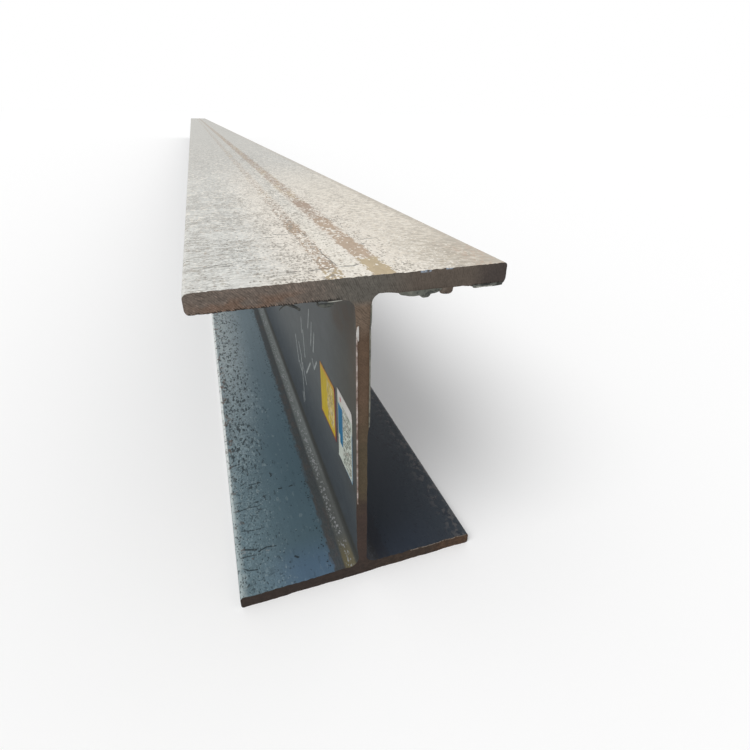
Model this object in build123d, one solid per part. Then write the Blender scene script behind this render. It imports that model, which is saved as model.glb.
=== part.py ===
"""Hot-rolled steel H-beam, HM 390 x 300 x 10 x 16, one stock length lying on its flange.

Frame: X across the flanges, Y along the length, Z up from the floor to the top flange.
The origin is the middle of the face that rests on the floor. The end at -Y is the
labelled one: two paper labels are stuck side by side on the -X face of the web.
All lengths are in millimetres.
"""

import os

from build123d import *

# Rolled section
SECTION_HEIGHT = 390.0
FLANGE_WIDTH = 300.0
WEB_THICKNESS = 10.0
FLANGE_THICKNESS = 16.0
ROOT_RADIUS = 13.0
FLANGE_TIP_RADIUS = 3.5

# Stock length, sawn square at both ends
STOCK_LENGTH = 12000.0

# Paper labels on the web
LABEL_THICKNESS = 0.3
WHITE_LABEL_WIDTH = 60.0
WHITE_LABEL_HEIGHT = 100.0
WHITE_LABEL_FROM_END = 21.0
WHITE_LABEL_CENTRE_HEIGHT = 180.0
YELLOW_LABEL_SIDE = 80.0
YELLOW_LABEL_GAP = 12.0
YELLOW_LABEL_CENTRE_HEIGHT = 180.0


def rolled_section():
    """The H section, drawn standing on the origin: two flanges, the web and four root fillets."""
    with BuildSketch(Plane.XZ) as section:
        Rectangle(FLANGE_WIDTH, FLANGE_THICKNESS, align=(Align.CENTER, Align.MIN))
        with Locations((0, SECTION_HEIGHT - FLANGE_THICKNESS)):
            Rectangle(FLANGE_WIDTH, FLANGE_THICKNESS, align=(Align.CENTER, Align.MIN))
        Rectangle(WEB_THICKNESS, SECTION_HEIGHT, align=(Align.CENTER, Align.MIN))
        fillet(root_corners(section), ROOT_RADIUS)
        fillet(tip_corners(section), FLANGE_TIP_RADIUS)
    return section.sketch


def root_corners(section):
    """The four inside corners, where the web runs into the flanges."""
    return section.vertices().filter_by(
        lambda v: abs(abs(v.X) - WEB_THICKNESS / 2) < 0.001
    )


def tip_corners(section):
    """The eight outside corners, at the tips of the flanges."""
    return section.vertices().filter_by(
        lambda v: abs(abs(v.X) - FLANGE_WIDTH / 2) < 0.001
    )


def h_beam():
    """The section run out to the stock length, half of it on each side of the origin."""
    return extrude(rolled_section(), amount=STOCK_LENGTH / 2, both=True)


def web_label(length, height, from_end, centre_height):
    """A label with its back on the -X face of the web, from_end inside the -Y end."""
    centre = Vector(
        -WEB_THICKNESS / 2 - LABEL_THICKNESS / 2,
        -STOCK_LENGTH / 2 + from_end + length / 2,
        centre_height,
    )
    return Pos(centre) * Box(LABEL_THICKNESS, length, height)


def build_parts():
    """Every separate piece of the part, by its name."""
    yellow_from_end = WHITE_LABEL_FROM_END + WHITE_LABEL_WIDTH + YELLOW_LABEL_GAP
    return {
        "h_beam": h_beam(),
        "white_label": web_label(
            WHITE_LABEL_WIDTH,
            WHITE_LABEL_HEIGHT,
            WHITE_LABEL_FROM_END,
            WHITE_LABEL_CENTRE_HEIGHT,
        ),
        "yellow_label": web_label(
            YELLOW_LABEL_SIDE,
            YELLOW_LABEL_SIDE,
            yellow_from_end,
            YELLOW_LABEL_CENTRE_HEIGHT,
        ),
    }


os.makedirs("parts", exist_ok=True)
for name, shape in build_parts().items():
    export_step(shape, f"parts/{name}.step")
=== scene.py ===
"""A hot-rolled steel H-beam, one stock length, lying on its flange on a pale floor.

The beam's skin is drawn as the rolled section, run out to the stock length and sawn at
both ends. Torn lips of burr hang from the edges of the near cut, and two paper tags are
stuck on the left face of the web, just inside that end.
Sizes are in metres. The patterns of the finishes are in millimetres, with X across the
flanges, Y counted from the near end and Z up from the floor.
"""

import logging
import math
from dataclasses import dataclass
from enum import Enum
from typing import Callable, Iterable

import bmesh
import bpy
from mathutils import Matrix, Vector


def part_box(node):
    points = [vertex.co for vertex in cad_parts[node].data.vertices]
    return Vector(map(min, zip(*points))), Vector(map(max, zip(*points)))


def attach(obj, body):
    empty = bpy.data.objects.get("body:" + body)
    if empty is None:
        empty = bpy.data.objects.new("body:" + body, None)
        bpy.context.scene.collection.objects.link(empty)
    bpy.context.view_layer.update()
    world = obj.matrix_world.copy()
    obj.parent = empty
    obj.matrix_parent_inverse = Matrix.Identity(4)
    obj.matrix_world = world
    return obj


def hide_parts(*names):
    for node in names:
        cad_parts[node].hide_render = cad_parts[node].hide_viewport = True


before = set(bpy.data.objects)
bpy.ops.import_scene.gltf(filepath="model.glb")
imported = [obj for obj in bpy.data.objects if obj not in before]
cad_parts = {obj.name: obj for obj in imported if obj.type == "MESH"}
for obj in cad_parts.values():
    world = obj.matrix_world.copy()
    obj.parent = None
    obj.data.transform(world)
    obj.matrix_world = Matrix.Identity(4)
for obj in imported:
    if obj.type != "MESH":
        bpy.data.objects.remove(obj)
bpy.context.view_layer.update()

log = logging.getLogger("h_beam")

MM = 0.001
BODY = "root"

Socket = bpy.types.NodeSocket
Term = float | Socket
Pair = tuple[float, float]
Triple = tuple[float, float, float]
Colour = Triple
Stroke = tuple[Pair, Pair, float]


def paint(red: int, green: int, blue: int) -> Colour:
    """Turns a screen colour into the linear colour that a shader takes.

    Args:
        red: The red level, 0 to 255.
        green: The green level, 0 to 255.
        blue: The blue level, 0 to 255.

    Returns:
        The three levels in linear light, 0 to 1.
    """
    shares = (value / 255 for value in (red, green, blue))
    return tuple(s / 12.92 if s <= 0.04045 else ((s + 0.055) / 1.055) ** 2.4 for s in shares)


def on_flange(lines: Iterable[Stroke], height: float = 0.0) -> list[tuple[Triple, Triple, float]]:
    """Strokes that are drawn by X and Y, all at one height."""
    return [((x0, y0, height), (x1, y1, height), half) for (x0, y0), (x1, y1), half in lines]


def on_web(lines: Iterable[Stroke]) -> list[tuple[Triple, Triple, float]]:
    """Strokes that are drawn by Y and Z."""
    return [((0, y0, z0), (0, y1, z1), half) for (y0, z0), (y1, z1), half in lines]


class Recipe:
    """The nodes of one material or world, written a socket at a time."""

    def __init__(self, owner: bpy.types.Material | bpy.types.World) -> None:
        """Starts with no nodes.

        Args:
            owner: The material or world that the nodes are for.
        """
        owner.use_nodes = True
        self.owner = owner
        self.tree = owner.node_tree
        self.tree.nodes.clear()

    def node(self, kind: str, **settings: object) -> bpy.types.Node:
        """Adds a node.

        Args:
            kind: The node's type, without the leading ShaderNode.
            settings: The node's properties.

        Returns:
            The node.
        """
        made = self.tree.nodes.new("ShaderNode" + kind)
        for name, value in settings.items():
            setattr(made, name, value)
        return made

    def feed(self, target: Socket, source: object) -> None:
        """Links a socket to an input, or sets the input to a constant.

        Args:
            target: The input.
            source: A socket, a number, a vector or a colour.
        """
        if isinstance(source, bpy.types.NodeSocket):
            self.tree.links.new(source, target)
        elif target.type == "RGBA":
            target.default_value = (*source, 1.0)
        else:
            target.default_value = source

    def join(self, x: Term, y: Term, z: Term) -> Socket:
        """Makes a vector.

        Args:
            x: Its first coordinate.
            y: Its second.
            z: Its third.

        Returns:
            The vector.
        """
        made = self.node("CombineXYZ")
        for target, term in zip(made.inputs, (x, y, z)):
            self.feed(target, term)
        return made.outputs[0]

    def calc(self, how: str, *terms: Term, clamp: bool = False) -> Socket:
        """Works out one sum on single values.

        Args:
            how: The Math node's operation.
            terms: Its one to three terms.
            clamp: Whether the result is kept between 0 and 1.

        Returns:
            The result.
        """
        made = self.node("Math", operation=how, use_clamp=clamp)
        for target, term in zip(made.inputs, terms):
            self.feed(target, term)
        return made.outputs[0]

    def vector(self, how: str, *terms: object, result: str = "Vector") -> Socket:
        """Works out one sum on vectors.

        Args:
            how: The Vector Math node's operation.
            terms: Its terms.
            result: The output that is read, Vector or Value.

        Returns:
            The result.
        """
        made = self.node("VectorMath", operation=how)
        shown = [target for target in made.inputs if target.enabled]
        for target, term in zip(shown, terms):
            self.feed(target, term)
        return made.outputs[result]

    def fold(self, how: str, terms: tuple[Term, ...]) -> Socket:
        """Works out the same sum from the first term to the last.

        Args:
            how: The Math node's operation.
            terms: The terms. One alone is given back as it is.

        Returns:
            The result.
        """
        result = terms[0]
        for term in terms[1:]:
            result = self.calc(how, result, term)
        return result

    def times(self, *terms: Term) -> Socket:
        """The product of the values."""
        return self.fold("MULTIPLY", terms)

    def plus(self, *terms: Term) -> Socket:
        """The sum of the values."""
        return self.fold("ADD", terms)

    def most(self, *terms: Term) -> Socket:
        """The largest of the values."""
        return self.fold("MAXIMUM", terms)

    def less(self, first: Term, second: Term) -> Socket:
        """The first value less the second."""
        return self.calc("SUBTRACT", first, second)

    def more(self, value: Term, factor: Term, base: Term) -> Socket:
        """The value times a factor, on top of a base."""
        return self.calc("MULTIPLY_ADD", value, factor, base)

    def rest(self, value: Term) -> Socket:
        """One less the value."""
        return self.less(1.0, value)

    def remap(self, value: Term, low: float, high: float) -> Socket:
        """Spreads a 0 to 1 value over low to high."""
        return self.more(value, high - low, low)

    def rise(self, value: Term, start: float, end: float) -> Socket:
        """A smooth step, 0 at start and 1 at end, whichever of the two is larger.

        Args:
            value: The value that is tested.
            start: Where the step is 0.
            end: Where it is 1.

        Returns:
            The step, 0 to 1.
        """
        made = self.node("MapRange", interpolation_type="SMOOTHSTEP", clamp=True)
        self.feed(made.inputs["Value"], value)
        made.inputs["From Min"].default_value = min(start, end)
        made.inputs["From Max"].default_value = max(start, end)
        made.inputs["To Min"].default_value = 0.0 if start < end else 1.0
        made.inputs["To Max"].default_value = 1.0 if start < end else 0.0
        return made.outputs["Result"]

    def band(self, value: Term, low: float, high: float, soft: float) -> Socket:
        """A stretch that is 1 between low and high and fades out over soft.

        Args:
            value: The value that is tested.
            low: The stretch's lower end.
            high: Its upper end.
            soft: The width of the fade at each end.

        Returns:
            The band, 0 to 1.
        """
        up = self.rise(value, low - soft / 2, low + soft / 2)
        down = self.rise(value, high + soft / 2, high - soft / 2)
        return self.times(up, down)

    def sway(self, value: Term, noise: Socket, reach: float) -> Socket:
        """Moves a value to and fro by up to half of reach, as the noise goes."""
        return self.plus(value, self.more(noise, reach, -reach / 2))

    def shows(self, level: Term, density: Term, edge: float = 0.06) -> Socket:
        """Where cells of random level show, so that density is the share that does.

        Args:
            level: The cells' random level, 0 to 1.
            density: The share that shows.
            edge: How far the level may be over before it is gone.

        Returns:
            The share, 0 or 1 apart from a narrow edge.
        """
        over = self.less(density, level)
        return self.calc("MULTIPLY_ADD", over, 1 / edge, 0.5, clamp=True)

    def threads(self, noise: Socket, width: float) -> Socket:
        """Thin lines along the middle level of a noise."""
        away = self.calc("ABSOLUTE", self.less(noise, 0.5))
        return self.rise(away, width, width * 0.3)

    def mix(self, share: Term, first: object, second: object) -> Socket:
        """Blends two colours.

        Args:
            share: How much of the second colour shows.
            first: A colour or a colour socket.
            second: The same.

        Returns:
            The blend.
        """
        made = self.node("Mix", data_type="RGBA", clamp_factor=True)
        inputs = (target for target in made.inputs if target.enabled)
        for target, source in zip(inputs, (share, first, second)):
            self.feed(target, source)
        return next(given for given in made.outputs if given.enabled)

    def lay(self, base: object, colour: object, *shares: Term) -> Socket:
        """Lays a colour over a base, as much of it as all the shares multiplied."""
        return self.mix(self.times(*shares), base, colour)

    def dim(self, colour: Socket, level: Term) -> Socket:
        """A colour times a single level, where 1 leaves it as it is."""
        return self.vector("SCALE", colour, level)

    def shade(self, colour: Socket, value: Term, low: float, high: float) -> Socket:
        """A colour times low where the value is 0, and times high where it is 1."""
        return self.dim(colour, self.remap(value, low, high))

    def seen(self) -> Socket:
        """1 for the rays that show a thing to the eye, straight or in a reflection."""
        rays = self.node("LightPath").outputs
        return self.most(*(rays[f"Is {kind} Ray"] for kind in ("Camera", "Glossy", "Transmission")))

    def close(self, shader: bpy.types.Node, kind: str = "OutputMaterial") -> None:
        """Ends the recipe with its shader."""
        self.tree.links.new(shader.outputs[0], self.node(kind).inputs["Surface"])


class SkinRecipe(Recipe):
    """A material's recipe that reads the point on the surface, in millimetres.

    It holds the point as the vector here and as the three coordinates in point.
    """

    def __init__(self, name: str, near_end: float) -> None:
        """Starts the material and reads the point, with Y counted from the near end.

        Args:
            name: The material's name.
            near_end: The near end's place along Y, in metres.
        """
        super().__init__(bpy.data.materials.new(name))
        read = self.node("TexCoord").outputs["Object"]
        self.here = self.mapped(read, (1 / MM,) * 3, (0, -near_end / MM, 0))
        parts = self.node("SeparateXYZ")
        self.feed(parts.inputs[0], self.here)
        self.point = tuple(parts.outputs)

    def mapped(self, place: Socket, scale: Triple, shift: Triple) -> Socket:
        """Scales a place and then shifts it.

        Args:
            place: The place.
            scale: The factors along X, Y and Z.
            shift: The movement along X, Y and Z.

        Returns:
            The new place.
        """
        made = self.node("Mapping")
        self.feed(made.inputs["Vector"], place)
        made.inputs["Scale"].default_value = scale
        made.inputs["Location"].default_value = shift
        return made.outputs["Vector"]

    def texture(
        self, kind: str, place: Socket | None, size: Triple, shift: Triple, **levels: float
    ) -> bpy.types.Node:
        """Adds a texture whose cells or clouds have a size of their own along each axis.

        Args:
            kind: The texture node's type.
            place: Where it is read, or nothing for the point on the surface.
            size: The cells' size along X, Y and Z.
            shift: Moves the pattern.
            levels: The node's inputs by their names, as one word each.

        Returns:
            The texture's node.
        """
        made = self.node(kind)
        scale = tuple(1 / edge for edge in size)
        self.feed(made.inputs["Vector"], self.mapped(place or self.here, scale, shift))
        made.inputs["Scale"].default_value = 1.0
        for name, level in levels.items():
            made.inputs[name].default_value = level
        return made

    def noise(
        self,
        size: Triple,
        detail: float = 2.0,
        rough: float = 0.5,
        seed: float = 0.0,
        place: Socket | None = None,
    ) -> Socket:
        """Cloudy noise about 0.5.

        Args:
            size: The clouds' size along X, Y and Z.
            detail: How many finer octaves it has.
            rough: How strong they are.
            seed: Moves the noise to another place.
            place: Where it is read, or nothing for the point on the surface.

        Returns:
            The noise, 0 to 1.
        """
        shift = (seed * 7.3, seed * 3.1, seed * 5.7)
        made = self.texture("TexNoise", place, size, shift, Detail=detail, Roughness=rough)
        return made.outputs["Fac"]

    def chips(self, size: Triple, seed: float, place: Socket | None = None) -> Socket:
        """Cells with a level of their own each, as flakes of scale have.

        Args:
            size: The cells' size along X, Y and Z.
            seed: Moves the cells to another place.
            place: Where they are read, or nothing for the point on the surface.

        Returns:
            The cell's level, 0 to 1.
        """
        made = self.texture("TexVoronoi", place, size, (seed * 4.7, seed * 6.1, seed * 2.9))
        level = self.node("SeparateColor")
        self.feed(level.inputs[0], made.outputs["Color"])
        return level.outputs[0]

    def ruffle(
        self, reach: float, grain: float, seed: float, place: Socket | None = None
    ) -> Socket:
        """Pushes a place about, so that the edges of a pattern turn ragged.

        Args:
            reach: How far it may be pushed in all.
            grain: The size of one push.
            seed: Moves the noise to another place.
            place: The place, or nothing for the point on the surface.

        Returns:
            The ruffled place.
        """
        shift = (seed * 3.7, seed * 5.3, seed * 1.9)
        made = self.texture("TexNoise", place, (grain,) * 3, shift, Detail=2.0)
        push = self.vector("SUBTRACT", made.outputs["Color"], (0.5, 0.5, 0.5))
        return self.vector("ADD", place or self.here, self.vector("SCALE", push, reach))

    def stroke(self, place: Socket, start: Triple, end: Triple, half: float) -> Socket:
        """A straight stroke between two points.

        Args:
            place: Where it is read.
            start: The stroke's first point.
            end: Its last point.
            half: Half its width.

        Returns:
            The stroke, 0 to 1.
        """
        run = Vector(end) - Vector(start)
        away = self.vector("SUBTRACT", place, start)
        along = self.vector("DOT_PRODUCT", away, tuple(run), result="Value")
        share = self.calc("MULTIPLY", along, 1 / run.length_squared, clamp=True)
        foot = self.vector("SCALE", tuple(run), share)
        distance = self.vector("DISTANCE", away, foot, result="Value")
        return self.rise(distance, half * 1.5, half * 0.5)

    def strokes(self, place: Socket, lines: Iterable[tuple[Triple, Triple, float]]) -> Socket:
        """Several strokes together, each with its two points and half its width."""
        return self.most(*(self.stroke(place, *line) for line in lines))

    def relief(self, *layers: tuple[Socket, float]) -> Socket:
        """Bumps laid one over the other.

        Args:
            layers: Each bump's height, 0 to 1, and its full range in millimetres.

        Returns:
            The normal.
        """
        normal = None
        for height, depth in layers:
            made = self.node("Bump")
            made.inputs["Strength"].default_value = 1.0
            made.inputs["Distance"].default_value = depth * MM
            self.feed(made.inputs["Height"], height)
            if normal is not None:
                self.feed(made.inputs["Normal"], normal)
            normal = made.outputs["Normal"]
        return normal

    def finish(
        self, colour: Socket, roughness: Term, normal: Socket, shine: float, metal: float = 0.0
    ) -> bpy.types.Material:
        """Ends the recipe with one Principled shader.

        Args:
            colour: The base colour.
            roughness: The roughness.
            normal: The bumped normal.
            shine: The specular level.
            metal: The share that reflects as bare metal.

        Returns:
            The material.
        """
        shader = self.node("BsdfPrincipled")
        self.feed(shader.inputs["Base Color"], colour)
        self.feed(shader.inputs["Roughness"], roughness)
        self.feed(shader.inputs["Normal"], normal)
        shader.inputs["Specular IOR Level"].default_value = shine
        shader.inputs["Metallic"].default_value = metal
        self.close(shader)
        return self.owner


@dataclass(frozen=True)
class WeatheredTopScale:
    """Scale on the upper flange: a pale ground of dust and painted sun glare, flaking, with two
    streaks of tan rust.
    """

    # Painted sun glare: the pale ground tones below carry sunlight painted in on top of dust, as the
    # same steel shows blue-grey in the channels
    left: Colour = paint(223, 223, 218)
    middle: Colour = paint(226, 219, 208)
    right: Colour = paint(225, 217, 203)
    right_corner: Colour = paint(195, 186, 171)
    far: Colour = paint(190, 189, 184)
    root_stripe: Colour = paint(224, 219, 207)
    root_stripe_far: Colour = paint(194, 193, 187)
    # Painted highlight: sun glare along the near edge of the flange
    front: Colour = paint(236, 230, 218)
    flake: Colour = paint(240, 235, 225)
    rust_front: Colour = paint(186, 169, 139)
    rust: Colour = paint(180, 160, 140)
    rust_far: Colour = paint(166, 148, 133)
    stain: Colour = paint(146, 139, 129)
    dash: Colour = paint(96, 95, 90)
    warm_edge: Colour = paint(190, 168, 150)
    cool_edge: Colour = paint(184, 178, 166)

    # Lanes along the flange by X: two edges and how soft they are, or where the margin fades in
    left_streak: Triple = (-30, -14, 5)
    right_streak: Triple = (10.5, 33, 7)
    between_streaks: Triple = (-12, 7, 8)
    pale_stripe: Triple = (-12, 6, 5)
    margin: Pair = (130, 143)

    cracks: tuple[Stroke, ...] = (
        ((-11, 34), (-4, 34), 0.8),
        ((-4, 34), (2, 33), 1.6),
        ((2, 33), (8, 37), 1.2),
        ((-40, 30), (-31, 31.5), 1.2),
        ((-31, 31.5), (-18, 33), 0.8),
        ((-12.5, 38), (-14, 60), 0.6),
        ((-14, 60), (-16, 82), 0.6),
        ((-16, 82), (-14, 102), 0.6),
        ((36, 134), (43, 131), 0.9),
        ((43, 131), (60, 133), 0.9),
        ((35, 110), (38, 112), 1.5),
        ((-61, 29), (-52, 31), 1.1),
        ((-61, 169), (-54, 168), 1.2),
        ((-50, 183), (-36, 177), 1.5),
        ((-140, 69), (-129, 67), 0.9),
        ((-129, 67), (-117, 73), 1.0),
        ((-117, 73), (-106, 75), 0.9),
        ((-113, 67), (-109, 67), 1.5),
    )

    def material(self, near_end: float, section: "RolledSection") -> bpy.types.Material:
        """Mixes the finish.

        Args:
            near_end: The near end's place along Y, in metres.
            section: The rolled section that the scale lies on.

        Returns:
            The material.
        """
        r = SkinRecipe("weathered_top_scale", near_end)
        x, y, _ = r.point
        clouds = r.noise((60, 130, 60), detail=3, seed=1)
        mottle = r.noise((4.6, 6.5, 4.6), detail=4, rough=0.75, seed=4)
        worn = r.noise((26, 46, 26), detail=2, seed=5)
        flakes = r.chips((1.7, 2.9, 1.7), 1, r.ruffle(2.2, 2.0, 1))
        core = r.band(x, -84, 104, 60)

        base = self.ground(r, clouds)
        base = r.shade(base, r.rise(mottle, 0.36, 0.64), 0.87, 1.07)
        inner = r.band(x, *self.between_streaks)
        pale = r.shows(flakes, r.plus(r.remap(core, 0.04, 0.22), r.times(inner, 0.20)))
        base = r.lay(base, self.flake, pale, r.rise(y, 1500, 300), 0.75)
        base = self.coarse(r, base, worn)
        base = self.specks(r, base, flakes, worn)
        base = self.lines(r, base, worn)
        base, rusty = self.streaks(r, base)
        base = self.right_edge(r, base)

        top = section.height / MM
        flat = r.ruffle(1.6, 3.0, 5, r.join(x, y, top))
        crack = r.strokes(flat, on_flange(self.cracks, top))
        base = r.lay(base, self.dash, crack, 0.75)

        height = r.plus(r.times(flakes, 0.5), mottle, r.times(rusty, -0.9), r.times(crack, -1.5))
        normal = r.relief((clouds, 0.5), (height, 0.2))
        return r.finish(base, r.remap(rusty, 0.66, 0.85), normal, shine=0.3)

    def ground(self, r: SkinRecipe, clouds: Socket) -> Socket:
        """The pale colour under all the marks, partly dust and partly painted sun glare.

        Args:
            r: The recipe that it goes into.
            clouds: Wide soft noise.

        Returns:
            The colour.
        """
        x, y, _ = r.point
        base = r.mix(r.rise(x, -95, -30), self.left, self.middle)
        base = r.mix(r.rise(x, 15, 90), base, self.right)
        stripe = r.band(r.sway(x, r.noise((9, 22, 9), seed=3), 7), *self.pale_stripe)
        tone = r.mix(r.rise(y, 120, 500), self.root_stripe, self.root_stripe_far)
        base = r.lay(base, tone, stripe, 0.85)
        base = r.mix(r.rise(y, 200, 1200), base, self.far)
        # Painted highlight: a band of sun glare along the near edge
        base = r.lay(base, self.front, r.rise(y, 45, 4), r.rise(x, -110, -60), 0.5)
        base = r.lay(base, self.right_corner, r.rise(x, 52, 106), r.rise(y, 200, 50))
        away = r.rise(y, 170, 300)
        left = r.times(r.rise(x, 80, 30), away, r.rise(y, 1900, 1000))
        outer = r.times(r.rise(x, -60, -100), away, r.rise(y, 1500, 600))
        right = r.times(r.rise(x, 30, 80), away, r.rise(y, 4000, 1500))
        level = r.plus(1.0, r.times(left, -0.033), r.times(outer, -0.035), r.times(right, 0.03))
        base = r.dim(base, level)
        base = r.shade(base, clouds, 0.94, 1.06)
        rolling = r.noise((7, 900, 7), detail=3, seed=2)
        base = r.shade(base, rolling, 0.94, 1.06)
        wisps = r.noise((10, 3.0, 10), detail=4, rough=0.62, seed=44)
        near = r.rise(y, 900, 250)
        leftward = r.times(r.remap(r.rise(x, -10, -80), 0.35, 1.0), near, -0.15)
        base = r.dim(base, r.more(r.rise(wisps, 0.64, 0.42), leftward, 1.03))
        return base

    def coarse(self, r: SkinRecipe, base: Socket, worn: Socket) -> Socket:
        """Longer patches of pale and stained scale, which start a hand's width from the end.

        Args:
            r: The recipe that they go into.
            base: The colour that they are laid on.
            worn: Noise that is high where the scale is worn.

        Returns:
            The colour.
        """
        x, y, _ = r.point
        patches = r.chips((3.6, 8.0, 3.6), 8, r.ruffle(7.0, 7.0, 9))
        zone = r.times(r.rise(y, 110, 300), r.remap(r.rise(y, 900, 3000), 1.0, 0.4))
        many = r.remap(r.rise(worn, 0.36, 0.6), 0.10, 0.24)
        depth = r.remap(r.band(x, *self.between_streaks), 0.36, 0.58)
        base = r.lay(base, self.stain, r.shows(r.rest(patches), many, 0.1), zone, depth)
        return r.lay(base, self.flake, r.shows(patches, 0.18, 0.1), zone, 0.50)

    def specks(self, r: SkinRecipe, base: Socket, flakes: Socket, worn: Socket) -> Socket:
        """Small pits where single flakes have come off.

        Args:
            r: The recipe that they go into.
            base: The colour that they are laid on.
            flakes: The level of each flake.
            worn: Noise that is high where the scale is worn.

        Returns:
            The colour.
        """
        x, y, _ = r.point
        beside = r.most(
            r.times(r.band(x, 20, 62, 16), r.rise(y, 420, 250)),
            r.times(r.band(x, -60, -30, 24), r.rise(y, 360, 240)),
        )
        density = r.plus(r.remap(r.band(x, -90, 50, 40), 0.025, 0.085), r.times(beside, 0.10))
        density = r.times(density, r.remap(r.rise(worn, 0.36, 0.6), 0.5, 1.4))
        depth = r.remap(r.rise(x, 55, 85), 0.8, 0.5)
        share = r.times(r.shows(r.rest(flakes), density, 0.02), r.rise(y, 1300, 400), depth)
        return r.mix(share, base, self.stain)

    def lines(self, r: SkinRecipe, base: Socket, worn: Socket) -> Socket:
        """Fine dark lines and dashes that run across the flange.

        Args:
            r: The recipe that they go into.
            base: The colour that they are laid on.
            worn: Noise that is high where the scale is worn.

        Returns:
            The colour.
        """
        x, y, z = r.point
        tilted = r.join(x, r.more(x, -0.12, y), z)
        across = r.noise((32, 6.0, 32), detail=3, rough=0.6, seed=9, place=tilted)
        left = r.remap(r.rise(x, -30, -90), 0.3, 1.0)
        patchy = r.remap(r.rise(worn, 0.40, 0.56), 0.3, 1.0)
        share = r.times(r.threads(across, 0.032), left, patchy, r.rise(y, 900, 250), 0.85)
        base = r.mix(share, base, self.stain)
        scratched = r.noise((26, 4.6, 26), detail=3, rough=0.62, seed=50, place=tilted)
        crisp = r.times(r.threads(scratched, 0.016), r.rise(x, -50, -100), patchy, r.rise(y, 700, 250))
        base = r.lay(base, self.dash, crisp, 0.55)
        slanted = r.join(x, r.more(x, 0.3, y), z)
        drawn = r.noise((13, 3.6, 13), detail=3, rough=0.65, seed=10, place=slanted)
        right = r.times(r.rise(x, 40, 90), r.rise(y, 1100, 400))
        base = r.lay(base, self.stain, r.rise(drawn, 0.51, 0.62), right, 0.50)
        base = r.lay(base, self.flake, r.rise(drawn, 0.49, 0.38), right, 0.45)
        dashes = r.noise((4.6, 2.6, 4.6), detail=2, rough=0.65, seed=6, place=tilted)
        cluster = r.times(r.band(x, -116, -84, 24), r.band(y, 40, 190, 60))
        around = r.times(r.band(x, -130, -40, 40), r.rise(y, 420, 250), r.rise(worn, 0.44, 0.56))
        zone = r.most(cluster, r.times(around, 0.55))
        share = r.times(r.rise(dashes, 0.57, 0.625), zone, 0.9)
        return r.mix(share, base, self.dash)

    def streaks(self, r: SkinRecipe, base: Socket) -> tuple[Socket, Socket]:
        """The two lengthwise streaks of rust over the edges of the web's root.

        Args:
            r: The recipe that they go into.
            base: The colour that they are laid on.

        Returns:
            The colour, and where rust shows.
        """
        x, y, _ = r.point
        small = r.chips((2.0, 3.4, 2.0), 2, r.ruffle(2.8, 2.6, 2))
        large = r.chips((3.8, 6.6, 3.8), 3, r.ruffle(5.0, 5.0, 3))
        edge = r.noise((8, 15, 8), detail=3, rough=0.62, seed=7)
        fade = r.remap(r.rise(y, 1500, 5000), 1.0, 0.75)

        right = r.band(r.sway(x, edge, 13), *self.right_streak)
        front = r.times(r.rise(y, 60, 50), r.rise(r.sway(x, edge, 8), 12, 15))
        solid = r.most(front, r.band(y, 64, 146, 10), r.band(y, 335, 400, 50))
        solid = r.most(solid, r.times(r.band(y, 195, 250, 60), 0.7))
        dense = r.times(right, r.remap(solid, 0.72, 1.03))
        rust = r.times(r.shows(large, dense), r.remap(r.shows(small, dense), 0.45, 1.0))
        left = r.band(r.sway(x, edge, 7), *self.left_streak)
        first = r.times(r.rise(y, 24, 18), 0.7)
        thick = r.most(r.band(y, 178, 240, 26), r.times(r.band(y, 26, 60, 14), 0.75), first)
        thin = r.remap(r.rise(y, 330, 245), 0.65, 1.0)
        lefty = r.times(left, r.remap(thick, 0.40, 0.86), thin)
        rust = r.times(r.most(rust, r.shows(small, lefty)), fade)
        set_back = r.plus(r.sway(y, edge, 16), r.times(r.rise(x, 0, -5), 28))
        tone = r.mix(r.rise(set_back, 52, 62), self.rust_front, self.rust)
        tone = r.mix(r.rise(y, 200, 330), tone, self.rust_far)
        sandy = r.rise(r.noise((12, 90, 12), detail=2, seed=47), 0.50, 0.62)
        tone = r.lay(tone, self.rust_front, sandy, r.rise(y, 380, 450), 0.7)
        tone = r.shade(tone, large, 0.91, 1.07)
        tone = r.shade(tone, r.times(r.rise(x, 0, -5), r.rise(y, 330, 245)), 1.0, 0.9)
        base = r.lay(base, tone, rust, 0.94)
        both = r.most(right, left)
        flecks = r.shows(r.rest(small), r.times(both, r.remap(solid, 0.16, 0.05)), 0.02)
        base = r.lay(base, self.flake, flecks, r.rise(y, 1200, 400), 0.85)
        pits = r.shows(r.rest(large), r.times(left, 0.13), 0.02)
        base = r.lay(base, self.stain, pits, r.rise(y, 700, 300), 0.8)
        return base, rust

    def right_edge(self, r: SkinRecipe, base: Socket) -> Socket:
        """The greyer margin along the right edge of the flange, with warm rust at its near corner.

        Args:
            r: The recipe that it goes into.
            base: The colour that it is laid on.

        Returns:
            The colour.
        """
        x, y, _ = r.point
        zone = r.rise(r.sway(x, r.noise((20, 40, 20), seed=19), 10), *self.margin)
        corner = r.times(r.rise(x, 104, 124), r.rise(y, 120, 30))
        warm = r.noise((4, 8, 4), detail=4, rough=0.7, seed=20)
        cool = r.noise((6, 10, 6), detail=4, rough=0.7, seed=21)
        near = r.remap(r.rise(y, 300, 1200), 1.0, 0.5)
        base = r.lay(base, self.cool_edge, zone, r.remap(r.rise(cool, 0.43, 0.55), 0.35, 0.85), near)
        warmed = r.times(r.most(r.times(zone, 0.4), corner), r.rise(warm, 0.48, 0.58), 0.6)
        return r.mix(warmed, base, self.warm_edge)


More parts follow.
